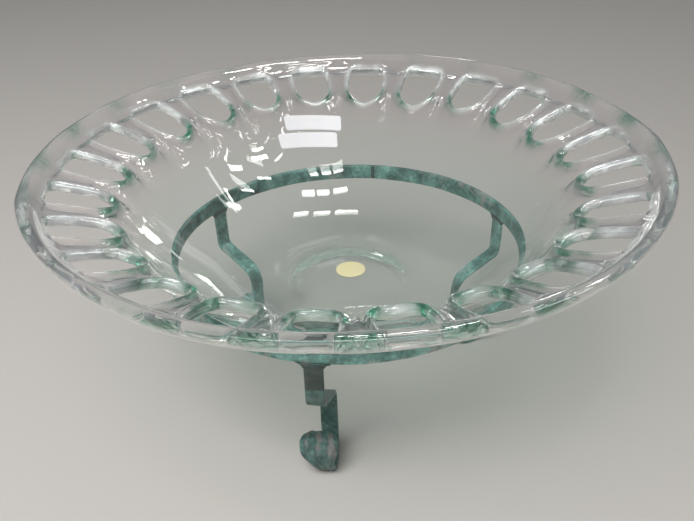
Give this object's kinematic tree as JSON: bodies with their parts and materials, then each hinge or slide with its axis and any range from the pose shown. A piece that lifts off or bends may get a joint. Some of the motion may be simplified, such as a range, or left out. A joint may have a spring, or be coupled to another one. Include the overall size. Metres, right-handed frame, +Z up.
{
  "type": "glass bowl on stand",
  "caption": "Shallow round glass bowl with a pierced rim, resting loosely in the ring of a three-legged wrought-iron stand with rolled scroll feet; it holds fruit, flowers or candles.",
  "frame": {"origin": "on the table plane, on the common vertical axis of the bowl and the stand's ring", "axes": "+Z up, the bowl's axis and its lift direction; the front leg points towards -Y, turned 10.7 degrees towards -X"},
  "size_m": [0.3998, 0.3998, 0.1769],
  "materials": {
    "glass": "polished clear glass with a faint green tint, deep green at thick edges",
    "label_paper": "plain white label, slightly satin",
    "sticker_paper": "matte pale yellow paper sticker",
    "verdigris_iron": "satin blue-green paint, mottled and worn",
    "weld_iron": "rough painted weld bead"
  },
  "bodies": {
    "stand": {"stand_ring": "verdigris_iron", "ring_butt_weld": "weld_iron", "leg_front": "verdigris_iron", "leg_back_left": "verdigris_iron", "leg_back_right": "verdigris_iron", "weld_front": "weld_iron", "weld_back_left": "weld_iron", "weld_back_right": "weld_iron"},
    "bowl": {"glass_bowl": "glass", "label_upper": "label_paper", "label_lower": "label_paper", "base_sticker": "sticker_paper"}
  },
  "joints": [
    {"name": "bowl_lift", "type": "slide", "parent": "stand", "child": "bowl", "axis": [0, 0, 1], "range_m": [0, 0.15]}
  ]
}
